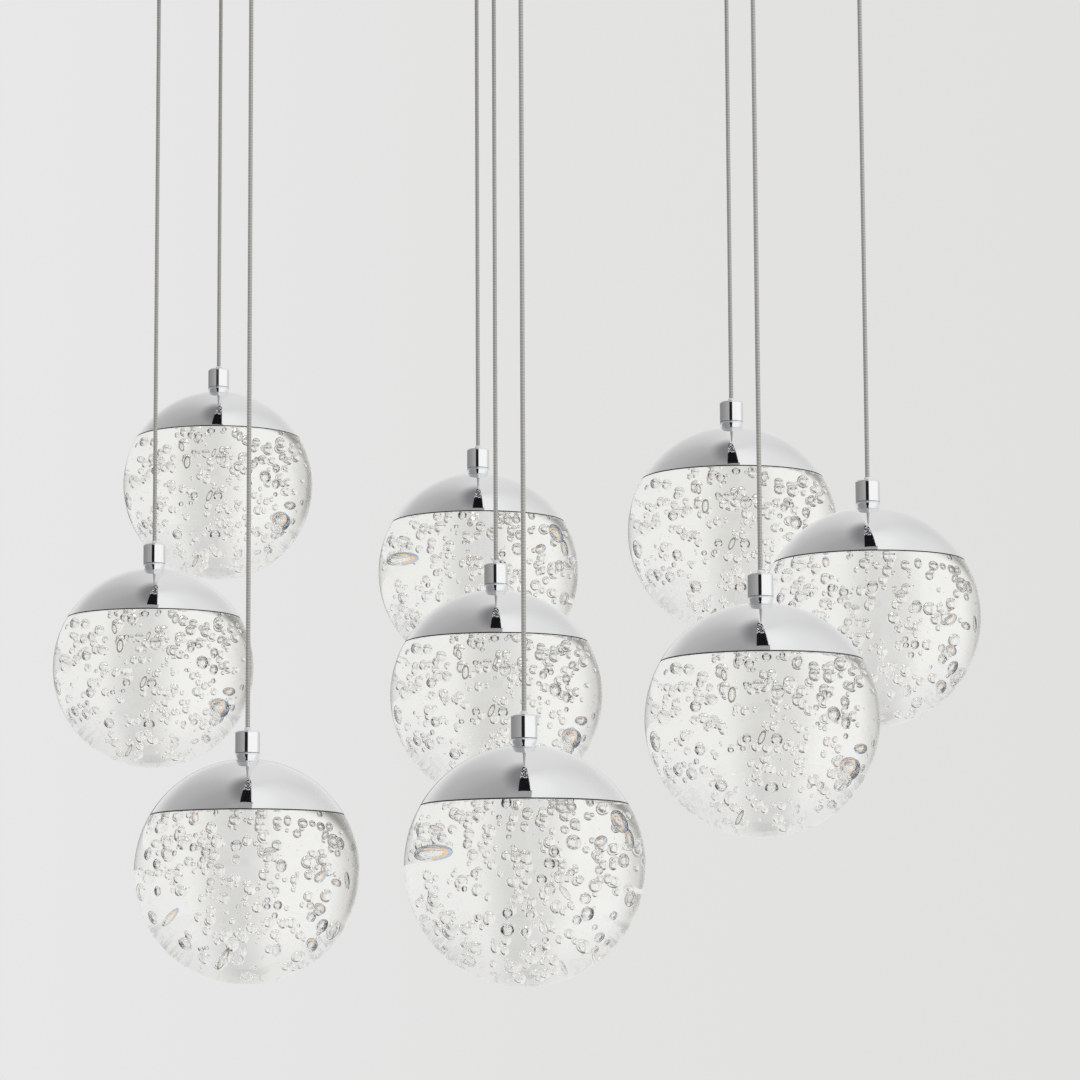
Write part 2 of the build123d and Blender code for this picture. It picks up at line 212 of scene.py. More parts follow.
GLASS_INDEX = 1.5
INNER = None  # reach of faces inside a pendant, as let_pass() takes it
OWN_PENDANT = 0.03  # reach of outside faces that their own pendant still mirrors, metres
OWN_CABLE = 0.11  # the same of cables, which caps mirror further up
HIGH_CABLE = 0.12  # how far down from the canopy a cable isn't mirrored
EDGE_INDEX = 1.04  # light goes almost straight through the coloured edges of bubbles


class Nodes:
    """Short way to write node trees."""

    def __init__(self, tree):
        self.tree = tree

    def add(self, kind, inputs=(), **settings):
        node = self.tree.nodes.new(kind)
        for name, value in settings.items():
            setattr(node, name, value)
        for key, value in dict(inputs).items():
            self.set(node.inputs[key], value)
        return node

    def set(self, socket, value):
        if isinstance(value, bpy.types.NodeSocket):
            self.tree.links.new(value, socket)
        elif isinstance(value, bpy.types.Node):
            self.tree.links.new(value.outputs[0], socket)
        else:
            socket.default_value = value

    def math(self, operation, a, b=0.0, c=0.0, clamp=False):
        return self.add("ShaderNodeMath", {0: a, 1: b, 2: c}, operation=operation, use_clamp=clamp)

    def ramp(self, factor, *stops):
        node = self.add("ShaderNodeValToRGB", {"Fac": factor})
        elements = node.color_ramp.elements
        while len(elements) < len(stops):
            elements.new(0.5)
        for element, (position, colour) in zip(elements, stops):
            element.position = position
            value = colour if hasattr(colour, "__len__") else (colour,) * 3
            element.color = (*value, 1.0)
        return node

    def range(self, value, low, high, to_low=0.0, to_high=1.0, kind="SMOOTHSTEP"):
        inputs = {"Value": value, "From Min": low, "From Max": high, "To Min": to_low, "To Max": to_high}
        return self.add("ShaderNodeMapRange", inputs, interpolation_type=kind)

    def mix(self, factor, a, b):
        node = self.add("ShaderNodeMix", data_type="RGBA")
        self.set(node.inputs[0], factor)
        self.set(node.inputs[6], a)
        self.set(node.inputs[7], b)
        return node.outputs[2]

    def all_of(self, first, *others):
        """Product of masks."""
        product = first
        for other in others:
            product = self.math("MULTIPLY", product, other)
        return product

    def over(self, value, limit):
        return self.math("GREATER_THAN", value, limit)

    def under(self, value, limit):
        return self.math("LESS_THAN", value, limit)

    def here(self):
        """Place on the object, in its own frame."""
        return self.add("ShaderNodeTexCoord").outputs["Object"]

    def parts(self, vector):
        """X, Y and Z of a vector."""
        return self.add("ShaderNodeSeparateXYZ", {0: vector}).outputs

    def noise(self, scale, detail=3.0):
        """Noise that doesn't depend on where the object stands."""
        inputs = {"Vector": self.here(), "Scale": scale, "Detail": detail}
        return self.add("ShaderNodeTexNoise", inputs).outputs["Fac"]

    def bump(self, height, strength, distance):
        return self.add("ShaderNodeBump", {"Height": height, "Strength": strength, "Distance": distance})


def new_material(name, **shader):
    """Material with a Principled shader, and the wrapper and shader to go on with."""
    material = bpy.data.materials.new(name)
    material.use_nodes = True
    material.node_tree.nodes.clear()
    nodes = Nodes(material.node_tree)
    principled = nodes.add("ShaderNodeBsdfPrincipled", {k.replace("_", " "): v for k, v in shader.items()})
    output = nodes.add("ShaderNodeOutputMaterial")
    nodes.set(output.inputs["Surface"], principled)
    return material, nodes, principled


def let_pass(nodes, shader, reach):
    """Let light that comes out of one pendant's glass, or off its chrome, go through the others.

    An outside face passes what comes to it out of another piece's glass, and what chrome
    mirrors from further off than its reach. From there on each face passes it, so a globe
    or a cap shows the studio and its own pendant, and not its neighbours. An inner face has
    no reach, and only passes what is already on its way.
    """
    rays = nodes.add("ShaderNodeLightPath").outputs
    passed = nodes.over(rays["Transparent Depth"], 0.5)
    if reach is not INNER:
        back = nodes.add("ShaderNodeNewGeometry").outputs["Backfacing"]
        mirrored = nodes.all_of(rays["Is Glossy Ray"], nodes.over(rays["Ray Length"], reach))
        arriving = nodes.math("MAXIMUM", rays["Is Transmission Ray"], mirrored)
        passed = nodes.math("MAXIMUM", passed, nodes.math("SUBTRACT", arriving, back, clamp=True))
    nodes.set(shader.inputs["Alpha"], nodes.math("SUBTRACT", 1.0, passed))


def metal(name, colour, rough, reach, grain=90.0, wave=0.0):
    """Metal whose polish varies a little, with a slight unevenness."""
    material, nodes, shader = new_material(name, Metallic=1.0, Base_Color=(*colour, 1))
    nodes.set(shader.inputs["Roughness"], nodes.range(nodes.noise(grain, 4.0), 0.3, 0.7, *rough))
    if wave:
        nodes.set(shader.inputs["Normal"], nodes.bump(nodes.noise(grain / 3), wave, 0.0002))
    let_pass(nodes, shader, reach)
    return material


def plastic(name, colour, rough, reach, grain=400.0):
    """Moulded plastic with a fine texture."""
    material, nodes, shader = new_material(name, Base_Color=(*colour, 1))
    gloss = nodes.range(nodes.noise(grain / 4), 0.3, 0.7, rough - 0.08, rough + 0.08)
    nodes.set(shader.inputs["Roughness"], gloss)
    nodes.set(shader.inputs["Normal"], nodes.bump(nodes.noise(grain), 0.15, 0.0002))
    let_pass(nodes, shader, reach)
    return material


def clear_glass(name, reach, tint=(1.0, 1.0, 1.0), index=GLASS_INDEX):
    """Clear solid glass, or the tinted skin at the edge of a bubble that stands out, where a dark tint is
    painted shade and a warm or cool one a painted colour fringe.
    """
    material, nodes, shader = new_material(
        name, Base_Color=(*tint, 1), Roughness=0.0, IOR=index, Transmission_Weight=1.0
    )
    let_pass(nodes, shader, reach)
    return material


def braided_cable():
    """Steel-grey braid under a thin clear jacket."""
    material, nodes, shader = new_material("cable_braid", Metallic=0.35, Roughness=0.35, Coat_Weight=0.6)
    x, y, z = nodes.parts(nodes.here())
    around = nodes.math("MULTIPLY", nodes.math("ARCTAN2", y, x), STRANDS)
    along = nodes.math("MULTIPLY", z, WEAVE_PITCH)
    one_way = nodes.math("SINE", nodes.math("ADD", around, along))
    other_way = nodes.math("SINE", nodes.math("SUBTRACT", around, along))
    weave = nodes.math("MULTIPLY_ADD", nodes.math("MULTIPLY", one_way, other_way), 0.5, 0.5)
    dark, middle, pale = (0.31, 0.305, 0.29), (0.41, 0.40, 0.38), (0.55, 0.54, 0.52)
    colour = nodes.ramp(weave, (0.0, dark), (0.45, middle), (1.0, pale))
    nodes.set(shader.inputs["Base Color"], colour)
    nodes.set(shader.inputs["Normal"], nodes.bump(weave, 0.2, 0.0001))
    let_pass(nodes, shader, nodes.math("MULTIPLY", nodes.under(z, -HIGH_CABLE), OWN_CABLE))
    return material


def light_board():
    """White board with an amber phosphor ring round a pale middle, which glow as a painted highlight:
    brightly in the middle, faintly elsewhere, lighting nothing.
    """
    material, nodes, shader = new_material("light_board", Roughness=0.45)
    x, y, _ = nodes.parts(nodes.here())
    radius = nodes.math("SQRT", nodes.math("ADD", nodes.math("POWER", x, 2), nodes.math("POWER", y, 2)))
    phosphor = PHOSPHOR_RADIUS * MM
    board = nodes.range(radius, phosphor, phosphor + 0.2 * MM)
    ring = nodes.range(radius, 0.66 * phosphor, 0.74 * phosphor)
    amber = nodes.ramp(nodes.noise(1500.0), (0.3, (0.62, 0.30, 0.11)), (0.7, (0.72, 0.37, 0.15)))
    lamp = nodes.mix(ring, (0.95, 0.90, 0.80, 1), amber)
    colour = nodes.mix(board, lamp, (0.85, 0.85, 0.83, 1))
    nodes.set(shader.inputs["Base Color"], colour)
    nodes.set(shader.inputs["Emission Color"], colour)
    # Painted highlight: the glow is strong in the middle and faint on the ring, the board and the white
    # film; diffuse rays don't see it, so it shows only in mirrored and refracted views and lights nothing.
    glow = nodes.range(ring, 0.0, 1.0, 3.0, 0.5)
    lit = nodes.math("SUBTRACT", 1.0, nodes.add("ShaderNodeLightPath").outputs["Is Diffuse Ray"])
    nodes.set(shader.inputs["Emission Strength"], nodes.math("MULTIPLY", glow, lit))
    let_pass(nodes, shader, INNER)
    return material


CHROME = metal("chrome", (0.90, 0.905, 0.91), (0.02, 0.05), OWN_PENDANT)
CAP_CHROME = metal("cap_chrome", (0.90, 0.905, 0.91), (0.02, 0.05), 0.0)
CHROME_INSIDE = metal("chrome_inside", (0.72, 0.72, 0.73), (0.25, 0.4), INNER)
CANOPY_CHROME = metal("canopy_chrome", (0.90, 0.905, 0.91), (0.12, 0.18), OWN_PENDANT)
ALUMINIUM = metal("heat_sink", (0.80, 0.80, 0.81), (0.25, 0.4), INNER, 300.0, 0.1)
ZINC = metal("zinc_steel", (0.62, 0.64, 0.66), (0.35, 0.5), INNER, 90.0, 0.03)
PLASTIC = plastic("driver_housing", (0.85, 0.85, 0.83), 0.45, INNER)
TERMINAL = plastic("terminal_plastic", (0.75, 0.73, 0.68), 0.4, INNER)
SEAL = plastic("dark_seal", (0.015, 0.015, 0.016), 0.45, OWN_PENDANT)
SLEEVE = plastic("sleeve_plastic", (0.76, 0.78, 0.81), 0.25, OWN_PENDANT)
SKIN = clear_glass("bubble_glass", 0.0)
HOLLOW = clear_glass("bubble_hollow", INNER)
# Dark tinted glass on the edges of some bubbles: painted shade for their outline.
PAINTED_SHADE_EDGE = clear_glass("bubble_painted_shade_edge", INNER, (0.36, 0.35, 0.29), EDGE_INDEX)
# Duller, darker chrome on the side of the holder's joint groove: painted shade in the groove.
GROOVE_PAINTED_SHADE = metal("holder_groove_painted_shade", (0.58, 0.59, 0.61), (0.3, 0.5), OWN_PENDANT)
# Warm and cool tinted glass on the edges of some bubbles: painted colour fringes.
PAINTED_WARM_FRINGE = clear_glass("bubble_painted_warm_fringe", INNER, (1.0, 0.56, 0.26), EDGE_INDEX)
PAINTED_COOL_FRINGE = clear_glass("bubble_painted_cool_fringe", INNER, (0.40, 0.50, 0.75), EDGE_INDEX)
BRAID = braided_cable()
BOARD = light_board()


# ---------------------------------------------------------------- cables


def cable_route(number):
    """Route of a cable, straight down from its gland, as points of a NURBS spline."""
    centre = globe_centre(number)
    bottom = centre.z + CABLE_BOTTOM * MM
    top = CABLE_TOP * MM
    points = [Vector((centre.x, centre.y, top + (bottom - top) * share)) for share in ROUTE_SHARES]
    curve = bpy.data.curves.new(f"route_{number}", "CURVE")
    curve.dimensions = "3D"
    spline = curve.splines.new("NURBS")
    spline.points.add(len(points) - 1)
    for knot, point in zip(spline.points, points):
        knot.co = (*point, 1)
    spline.order_u = 3
    spline.use_endpoint_u = True
    carrier = bpy.data.objects.new(f"route_{number}", curve)
    mesh = bpy.data.meshes.new_from_object(carrier)
    route = [v.co.copy() for v in mesh.vertices]
    bpy.data.objects.remove(carrier)
    return route


def cable_piece(number):
    """Cable as a tube round its route, riding on its pendant's drop body."""
    route = cable_route(number)
    top = route[0]
    profile = [(CABLE_RADIUS, (point.z - top.z) / MM) for point in route]
    profile = [(0, profile[0][1]), *profile, (0, profile[-1][1])]
    mesh = finish_mesh(f"cable_tube_{number}", *lathe(profile[::-1], 20), [BRAID], 50.0)
    name = f"braided_cable_{number}"
    cable = new_piece(name, mesh, top, f"drop_{number}", "cable_braid", f"cable_{number}")
    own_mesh(cable)


# ---------------------------------------------------------------- bubbles


def unit_sphere(level):
    """Points and faces of an icosphere of radius 1, wound so that it faces inward."""
    bm = bmesh.new()
    bmesh.ops.create_icosphere(bm, subdivisions=level, radius=1.0)
    points = np.array([v.co for v in bm.verts])
    faces = np.array([[v.index for v in reversed(f.verts)] for f in bm.faces])
    bm.free()
    return points, faces


# Strewn bubbles. Sizes and places are in radii of the ball.
CLEAR_OF_SKIN = 0.035
CLEAR_OF_POCKET = 0.03
GREATEST_STRETCH = 2.6  # how much the ball may magnify a bubble, towards its edge
SHOWN_OUT_TO = 0.95
SHOWN_UP_TO = 0.52
DEPTHS = (-0.85, 0.6)
SQUEEZE = (0.86, 1.0)  # of each axis of a bubble
CLUMPS = 68
CLUMP_SIZES = (0.044, 0.070)
CLUMP_EXTRAS = (1, 4)  # how many more bubbles sit round a clump's first
EXTRA_SIZES = (0.45, 0.9)  # in sizes of the first
EXTRA_SPACING = (1.02, 1.4)  # from middle to middle, in both radii together
EMPTY_TRIES = 6
STREWN = (
    (50, (0.036, 0.062)),  # how many, and their sizes
    (100, (0.016, 0.030)),
    (90, (0.005, 0.009)),
)

# Painted dark rings (painted shade) and painted colour fringes of some bubbles, in radii of the bubble
RING_THICKNESS = 0.6  # of bubbles with a dark ring, in their widths
RING_BAND = (0.74, 0.95)  # where a ring's dark or colour lies, from the middle to the edge
COLOURS_FROM = 0.5
NO_COLOUR_BEYOND = -0.5  # lower left part without colours

# How finely bubbles are divided, up to which size
DIVISIONS = ((1, 0.008), (2, 0.016), (3, 0.05))
FINEST = 4

# Bubbles that stand out. Each shows, from the front, at (right, up), so deep, so long and
# wide either side of its middle, leaning so far to the right. Some have a painted dark ring,
# painted shade for an outline, and some have painted colour fringes.
MARKED = {
    "a": (
        (-0.28, 0.17, -0.40, 0.070, 0.036, 6, "ring"),
        (-0.34, 0.34, -0.35, 0.052, 0.026, -10, "ring"),
        (0.00, 0.26, -0.45, 0.050, 0.018, 22, "ring"),
        (-0.04, -0.20, -0.50, 0.068, 0.028, 24, "ring"),
        (-0.74, 0.41, -0.30, 0.056, 0.052, 0, "plain"),
        (-0.63, 0.40, -0.25, 0.052, 0.046, 15, "plain"),
        (-0.20, 0.46, -0.45, 0.060, 0.056, 0, "plain"),
        (0.27, 0.43, -0.50, 0.054, 0.036, 8, "plain"),
        (0.71, -0.45, -0.35, 0.100, 0.090, 30, "fringed"),
        (0.80, -0.28, -0.35, 0.060, 0.044, 80, "fringed"),
        (0.71, 0.24, -0.35, 0.044, 0.034, 30, "plain"),
        (-0.22, -0.86, -0.20, 0.070, 0.022, 28, "ring"),
        (0.26, -0.80, -0.25, 0.062, 0.030, 22, "plain"),
        (0.56, -0.74, -0.25, 0.046, 0.038, 70, "plain"),
        (0.45, -0.77, -0.25, 0.044, 0.022, 72, "plain"),
        (-0.45, 0.12, -0.50, 0.050, 0.048, 0, "plain"),
    ),
    "b": (
        (-0.64, -0.42, -0.35, 0.105, 0.034, 42, "fringed"),
        (0.68, -0.07, -0.35, 0.064, 0.042, 45, "fringed"),
        (0.82, -0.12, -0.30, 0.046, 0.034, -60, "fringed"),
        (0.91, -0.10, -0.25, 0.080, 0.020, -4, "fringed"),
        (0.68, -0.35, -0.40, 0.054, 0.046, -50, "fringed"),
        (-0.42, 0.45, -0.35, 0.050, 0.034, 0, "fringed"),
        (-0.69, 0.45, -0.25, 0.046, 0.038, 10, "plain"),
        (0.14, 0.42, -0.45, 0.046, 0.034, 6, "plain"),
        (0.39, 0.42, -0.40, 0.048, 0.036, -8, "plain"),
        (-0.19, -0.79, -0.20, 0.115, 0.030, 28, "ring"),
        (0.29, -0.71, -0.30, 0.062, 0.044, 20, "plain"),
        (0.60, -0.67, -0.30, 0.064, 0.048, 28, "fringed"),
        (-0.46, 0.06, -0.50, 0.048, 0.046, 0, "plain"),
        (-0.66, 0.14, -0.40, 0.062, 0.052, 0, "plain"),
        (0.22, 0.09, -0.55, 0.048, 0.046, 0, "plain"),
        (0.72, 0.30, -0.35, 0.044, 0.030, 20, "plain"),
    ),
    "c": (
        (-0.77, 0.09, -0.30, 0.165, 0.070, 86, "fringed"),
        (-0.72, 0.29, -0.35, 0.062, 0.020, -72, "fringed"),
        (0.78, 0.34, -0.30, 0.105, 0.060, -30, "fringed"),
        (0.86, 0.20, -0.25, 0.090, 0.034, -12, "fringed"),
        (0.62, 0.17, -0.40, 0.060, 0.046, 60, "fringed"),
        (-0.67, 0.21, -0.40, 0.044, 0.040, 0, "plain"),
        (0.24, 0.50, -0.30, 0.052, 0.048, 0, "plain"),
        (0.28, -0.13, -0.55, 0.056, 0.052, 0, "plain"),
        (0.05, -0.42, -0.50, 0.056, 0.052, 0, "plain"),
        (0.15, -0.53, -0.45, 0.068, 0.046, -16, "plain"),
        (0.33, -0.25, -0.45, 0.076, 0.030, -38, "plain"),
        (0.00, 0.28, -0.55, 0.044, 0.040, 0, "plain"),
        (-0.04, -0.08, -0.55, 0.050, 0.046, 0, "plain"),
        (0.32, -0.86, -0.15, 0.066, 0.026, -28, "plain"),
        (-0.14, -0.83, -0.20, 0.054, 0.036, -20, "plain"),
        (-0.45, -0.79, -0.20, 0.060, 0.040, -55, "plain"),
        (-0.45, 0.23, -0.45, 0.050, 0.048, 0, "plain"),
    ),
}


def seen_offset(offset, depth):
    """Distance from the axis, in radii, of what shows that far from the middle.

    Light bends where it leaves the front of the ball, so what lies deeper stands nearer
    the axis than it looks. Depth runs from -1, the front, to 1, the back.
    """
    bend = math.asin(offset) - math.asin(offset / GLASS_INDEX)
    return offset - (depth + math.sqrt(1 - offset**2)) * math.tan(bend)


def seen_at(x, z, depth):
    """Place in the glass of what shows at (x, z), and how much smaller it is across and outward."""
    offset = max(math.hypot(x, z), 0.02)
    across = seen_offset(offset, depth) / offset
    step = 0.01
    outward = (seen_offset(offset + step, depth) - seen_offset(offset - step, depth)) / (2 * step)
    return Vector((x * across, depth, z * across)), across, outward


def free_of_edge(point, reach):
    """Whether a bubble stays inside the glass and under the pocket for the light."""
    inside = point.length + reach < 1 - CLEAR_OF_SKIN
    return inside and point.z + reach < POCKET_FLOOR / GLOBE_RADIUS - CLEAR_OF_POCKET


def marked(pattern):
    """The bubbles that stand out, each as place, half axes, turn and look."""
    found = []
    for x, z, depth, long, wide, lean, look in MARKED[pattern]:
        thick = wide * RING_THICKNESS if look == "ring" else wide
        place, across, outward = seen_at(x, z, depth)
        outward = max(outward, 1 / GREATEST_STRETCH)
        radial = Matrix.Rotation(math.atan2(x, z), 3, "Y")
        shrink = Matrix.Diagonal((across, math.sqrt(across * outward), outward))
        squeeze = radial @ shrink @ radial.transposed()
        turn = squeeze @ Matrix.Rotation(math.radians(lean), 3, "Y")
        found.append((place, Vector((wide, thick, long)), turn, look))
    return found


def scattered(seed, found):
    """Add bubbles strewn through the glass, many of them in clumps, none in another."""
    dice = random.Random(seed)
    middles = []

    def covers(point, radius):
        """Whether it would stand before one with painted colour fringes."""
        return any(
            look == "fringed" and point.y < place.y and math.dist(point.xz, place.xz) < radius + max(size)
            for place, size, _, look in found
        )

    def add(point, radius):
        apart = all((point - other).length > radius + max(size) for other, size, _, _ in found)
        if apart and free_of_edge(point, radius) and not covers(point, radius):
            size = Vector([radius * dice.uniform(*SQUEEZE) for _ in range(3)])
            lean = Matrix.Rotation(dice.uniform(0, math.pi), 3, (1, 0.3, 0))
            found.append((point, size, lean, "plain"))

    def somewhere(sizes):
        """Even over what shows from the front, at any depth where the ball doesn't smear it."""
        while True:
            offset = SHOWN_OUT_TO * math.sqrt(dice.random())
            around = dice.uniform(-math.pi, math.pi)
            x, z = offset * math.cos(around), offset * math.sin(around)
            place, across, outward = seen_at(x, z, dice.uniform(*DEPTHS))
            if z < SHOWN_UP_TO and across > 0 and outward > 1 / GREATEST_STRETCH:
                return (x, z), place, dice.uniform(*sizes) * math.sqrt(across * outward)

    def somewhere_empty(sizes):
        """Of a few places, the one that shows furthest from the clumps so far."""
        def emptiness(tried):
            return min((math.dist(tried[0], middle) for middle in middles), default=0)

        best = max([somewhere(sizes) for _ in range(EMPTY_TRIES)], key=emptiness)
        middles.append(best[0])
        return best[1:]

    for _ in range(CLUMPS):
        first, size = somewhere_empty(CLUMP_SIZES)
        add(first, size)
        for _ in range(dice.randint(*CLUMP_EXTRAS)):
            way = Vector([dice.gauss(0, 1) for _ in range(3)]).normalized()
            extra = size * dice.uniform(*EXTRA_SIZES)
            add(first + way * (size + extra) * dice.uniform(*EXTRA_SPACING), extra)
    for count, sizes in STREWN:
        for _ in range(count):
            add(*somewhere(sizes)[1:])
    return found


# Material slots of a globe
IN_SKIN, IN_HOLLOW, IN_PAINTED_SHADE_EDGE, IN_PAINTED_WARM_FRINGE, IN_PAINTED_COOL_FRINGE = range(5)


def globe_mesh(name, bubbles):
    """Glass globe with its bubbles, as one mesh of glass."""
    rim = math.sqrt(GLOBE_RADIUS**2 - RIM_HEIGHT**2)
    top = NECK_TOP - NECK_GAP
    skin = sphere_section(GLOBE_RADIUS, -GLOBE_RADIUS + 1e-9, RIM_HEIGHT - SEAM_CHAMFER, 72)
    skin[0] = (0, -GLOBE_RADIUS)
    skin += [(rim - SEAM_CHAMFER, RIM_HEIGHT)]
    inside = [
        (NECK_RADIUS, RIM_HEIGHT),
        (NECK_RADIUS, top),
        (POCKET_RADIUS, top),
        (POCKET_RADIUS, POCKET_FLOOR),
        (0, POCKET_FLOOR),
    ]
    points, faces = lathe(skin + inside, BALL_SEGMENTS)
    skin_faces = BALL_SEGMENTS * (len(skin) - 1)
    marks = [IN_SKIN] * skin_faces + [IN_HOLLOW] * (len(faces) - skin_faces)
    spheres = {level: unit_sphere(level) for level in range(1, FINEST + 1)}
    for middle, size, turn, look in bubbles:
        unit, unit_faces = spheres[division(max(size), look)]
        shaped = (unit * np.array(size)) @ np.array(turn).T
        first = len(points)
        points += [tuple(p) for p in (shaped + np.array(middle)) * GLOBE_RADIUS * MM]
        faces += [[int(first + c) for c in face] for face in unit_faces]
        marks += [wall_material(look, unit[face].mean(0), shaped[face].mean(0)) for face in unit_faces]
    return finish_mesh(name, points, faces, [SKIN, HOLLOW, PAINTED_SHADE_EDGE, PAINTED_WARM_FRINGE, PAINTED_COOL_FRINGE], 40.0, marks)


def division(largest, look):
    """How finely a bubble is divided. One that stands out is always fine."""
    if look != "plain":
        return FINEST
    return next((level for level, limit in DIVISIONS if largest < limit), FINEST)


def wall_material(look, unit, shaped):
    """Material of a face of a bubble, by how it stands out.

    A ring has painted shade, dark all round its edge. One with painted colour fringes is warm
    inside its edge and cool round it, except at its lower left.
    """
    offset = math.hypot(unit[0], unit[2])
    band_start, band_end = RING_BAND
    if look == "plain" or offset < COLOURS_FROM:
        return IN_HOLLOW
    if look == "ring":
        return IN_PAINTED_SHADE_EDGE if band_start < offset < band_end else IN_HOLLOW
    upper_right = (shaped[0] + shaped[2]) / np.linalg.norm(shaped)
    if unit[1] > 0 or upper_right < NO_COLOUR_BEYOND:
        return IN_HOLLOW
    return IN_PAINTED_WARM_FRINGE if offset < band_start else IN_PAINTED_COOL_FRINGE


# ---------------------------------------------------------------- pendant head


def cap_mesh():
    """Domed shell: polished outside, plain inside."""
    rim = math.sqrt(GLOBE_RADIUS**2 - RIM_HEIGHT**2)
    inner = GLOBE_RADIUS - CAP_WALL
    hole_bottom = math.sqrt(inner**2 - STEM_HOLE**2)
    outside = [(rim - SEAM_CHAMFER, RIM_HEIGHT)]
    outside += sphere_section(GLOBE_RADIUS, RIM_HEIGHT + SEAM_CHAMFER, CAP_TOP, 40)
    outside += [(STEM_HOLE, CAP_TOP)]
    inside = sphere_section(inner, hole_bottom, RIM_HEIGHT, 24)
    points, faces = lathe(outside + inside + outside[:1], BALL_SEGMENTS)
    outer_faces = BALL_SEGMENTS * (len(outside) - 1)
    marks = [0] * outer_faces + [1] * (len(faces) - outer_faces)
    return finish_mesh("cap", points, faces, [CAP_CHROME, CHROME_INSIDE], 20.0, marks)


def seal_mesh():
    """Thin dark ring of sealant in the groove between cap and globe."""
    outer = math.sqrt(GLOBE_RADIUS**2 - RIM_HEIGHT**2) - SEAL_INSET
    half = SEAL_HEIGHT / 2
    inner = outer - SEAL_WIDTH
    profile = [
        (inner, RIM_HEIGHT - SEAL_TAIL),
        (outer, RIM_HEIGHT - half),
        (outer + SEAL_BULGE, RIM_HEIGHT),
        (outer, RIM_HEIGHT + half),
        (inner, RIM_HEIGHT + SEAL_TAIL),
        (inner, RIM_HEIGHT - SEAL_TAIL),
    ]
    return finish_mesh("seal", *lathe(profile, BALL_SEGMENTS), [SEAL], 40.0)


def collar_mesh():
    """Tapered collar with its stem below and its spigot above."""
    shoulder = COLLAR_TOP - HOLDER_GROOVE
    steps = 12
    profile = [(STEM_RADIUS, CAP_TOP - STEM_LENGTH), (STEM_RADIUS, CAP_TOP), (COLLAR_FOOT_RADIUS, CAP_TOP)]
    for step in range(1, steps + 1):
        share = step / steps
        swell = COLLAR_BULGE * 4 * share * (1 - share)
        radius = COLLAR_FOOT_RADIUS + (HOLDER_RADIUS - COLLAR_FOOT_RADIUS) * share + swell
        profile.append((radius, CAP_TOP + (shoulder - CAP_TOP) * share))
    groove = len(profile) - 1
    profile += [(HOLDER_RADIUS - HOLDER_GROOVE, COLLAR_TOP), (STEM_RADIUS, COLLAR_TOP)]
    profile += [(STEM_RADIUS, COLLAR_TOP + SPIGOT_HEIGHT), (0, COLLAR_TOP + SPIGOT_HEIGHT)]
    return grooved_mesh("collar", profile, groove)


def barrel_mesh():
    """Straight upper part of the holder with a rounded top edge."""
    foot = COLLAR_TOP + HOLDER_GROOVE
    shoulder = BARREL_TOP - BARREL_EDGE
    socket = STEM_RADIUS + SOCKET_CLEARANCE
    profile = [(socket, COLLAR_TOP), (HOLDER_RADIUS - HOLDER_GROOVE, COLLAR_TOP)]
    profile += [(HOLDER_RADIUS, foot), (HOLDER_RADIUS, foot + STRAIGHT_FROM)]
    profile += [(HOLDER_RADIUS, shoulder - STRAIGHT_FROM)]
    profile += arc((HOLDER_RADIUS - BARREL_EDGE, shoulder), BARREL_EDGE, 0, 90, 6)
    profile += [(CABLE_BORE, BARREL_TOP), (CABLE_BORE, CABLE_BOTTOM), (socket, CABLE_BOTTOM)]
    profile += profile[:1]
    return grooved_mesh("barrel", profile, 1)


def grooved_mesh(name, profile, groove):
    """Turned part of the holder, where one stretch of the section is the side of the joint groove, in a
    duller, darker chrome that is painted shade.
    """
    segments = 64
    points, faces = lathe(profile, segments)
    mesh = finish_mesh(name, points, faces, [CHROME, GROOVE_PAINTED_SHADE], 20.0)
    for face in mesh.polygons[groove * segments:(groove + 1) * segments]:
        face.material_index = 1
    return mesh


def sleeve_mesh():
    """Short sleeve where the cable goes into the barrel."""
    top = BARREL_TOP + SLEEVE_LENGTH
    profile = [(SLEEVE_RADIUS, BARREL_TOP), (SLEEVE_RADIUS, top - SLEEVE_CHAMFER)]
    profile += [(SLEEVE_RADIUS - SLEEVE_CHAMFER, top), (CABLE_BORE, top), (CABLE_BORE, BARREL_TOP)]
    return finish_mesh("sleeve", *lathe(profile, 32), [SLEEVE], 30.0)


def light_mesh():
    """Face of the light board, with a domed phosphor, and the white film round it over the glass."""
    board = NECK_TOP - BOARD_THICKNESS
    middle, halfway, edge = [board - rise for rise in PHOSPHOR_RISE]
    face = board - BOARD_FACE
    back = board - BOARD_BACK
    profile = [(0, middle), (PHOSPHOR_RADIUS / 2, halfway), (PHOSPHOR_RADIUS, edge)]
    profile += [(PHOSPHOR_RADIUS + PHOSPHOR_SLOPE, face), (BOARD_RADIUS, face)]
    profile += [(BOARD_RADIUS, back), (0, back)]
    points, faces = lathe(profile, 48)
    low = NECK_TOP - NECK_GAP + FILM_GAP
    high = NECK_TOP - FILM_GAP
    outer = NECK_RADIUS - FILM_INSET
    film = [(POCKET_RADIUS, low), (outer, low), (outer, high), (POCKET_RADIUS, high), (POCKET_RADIUS, low)]
    film_points, film_faces = lathe(film, 96)
    faces += [[corner + len(points) for corner in face] for face in film_faces]
    return finish_mesh("light_face", points + film_points, faces, [BOARD], 30.0)


# ---------------------------------------------------------------- canopy


